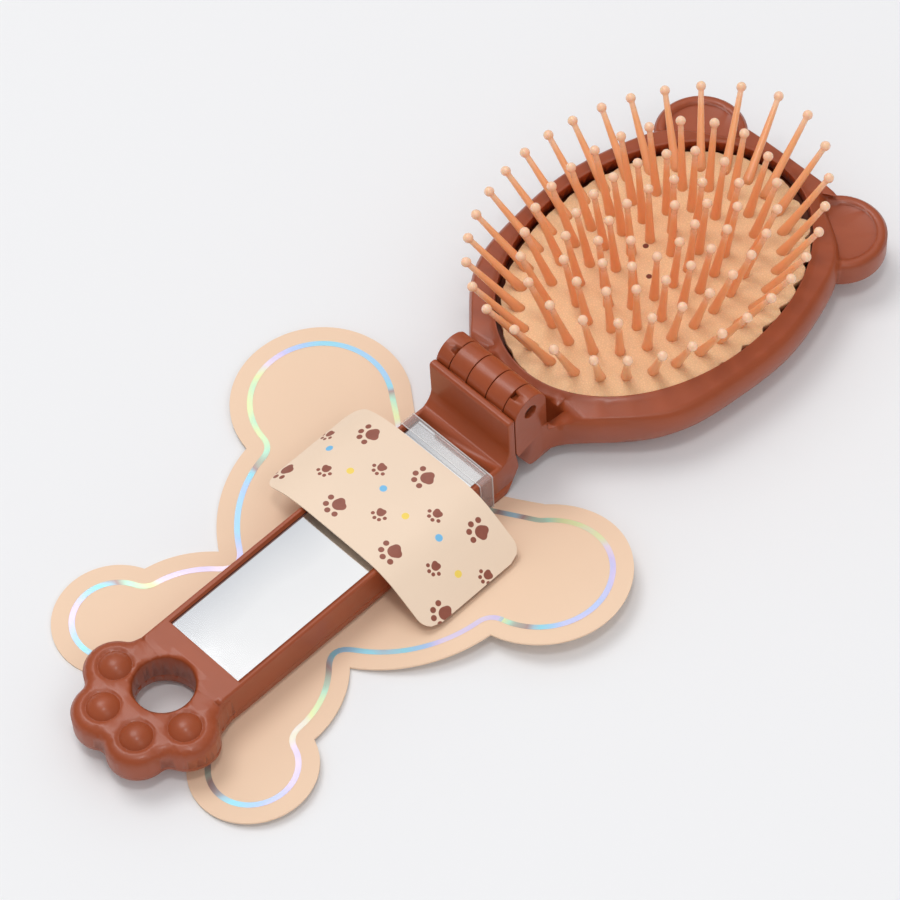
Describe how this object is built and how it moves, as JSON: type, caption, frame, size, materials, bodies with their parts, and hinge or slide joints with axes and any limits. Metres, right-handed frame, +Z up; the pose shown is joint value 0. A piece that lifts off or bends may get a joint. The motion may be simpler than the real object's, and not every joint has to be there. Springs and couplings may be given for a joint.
{
  "type": "folding hairbrush",
  "caption": "Folding hairbrush: mirrored handle with a paw-shaped end and hang hole, and an egg-shaped cushioned brush head with small ears, hinged to swing over the mirror.",
  "frame": {"origin": "on the card's underside, which is the rest plane, on the handle's centre line below the middle of the mirror", "axes": "+X along the handle from the paw to the brush head, +Z up out of the mirror and the pins, +Y to the far side"},
  "size_m": [0.1943, 0.0992, 0.0294],
  "materials": {
    "brown_plastic": "satin gloss reddish brown moulding",
    "mirror_glass": "silvered glass",
    "foam_tape": "double sided foam tape",
    "peach_card": "matt peach card with a pale iridescent contour line",
    "cream_card": "matt cream card with small paw prints",
    "clear_film": "clear plastic film",
    "steel": "plain steel pin",
    "cushion_rubber": "soft tan rubber with a fine leather grain",
    "inner_plastic": "plain inner moulding",
    "pin_plastic": "orange-peach nylon, glossy ball tips"
  },
  "bodies": {
    "handle": {"handle_frame": "brown_plastic", "handle_back": "brown_plastic", "mirror": "mirror_glass", "mirror_adhesive": "foam_tape", "backing_card": "peach_card", "card_band": "cream_card", "clear_strap": "clear_film"},
    "head": {"head_rim": "brown_plastic", "head_back": "brown_plastic", "cushion": "cushion_rubber", "cushion_ring": "inner_plastic", "hinge_pin": "steel", "pins_outer_ring": "pin_plastic", "pins_second_ring": "pin_plastic", "pins_third_ring": "pin_plastic", "pins_fourth_ring": "pin_plastic", "pins_centre_row": "pin_plastic"}
  },
  "joints": [
    {"name": "head_fold", "type": "hinge", "parent": "handle", "child": "head", "pos_m": [0.0435, 0, 0.0206], "axis": [0, -1, 0], "range_deg": [0, 180]}
  ]
}
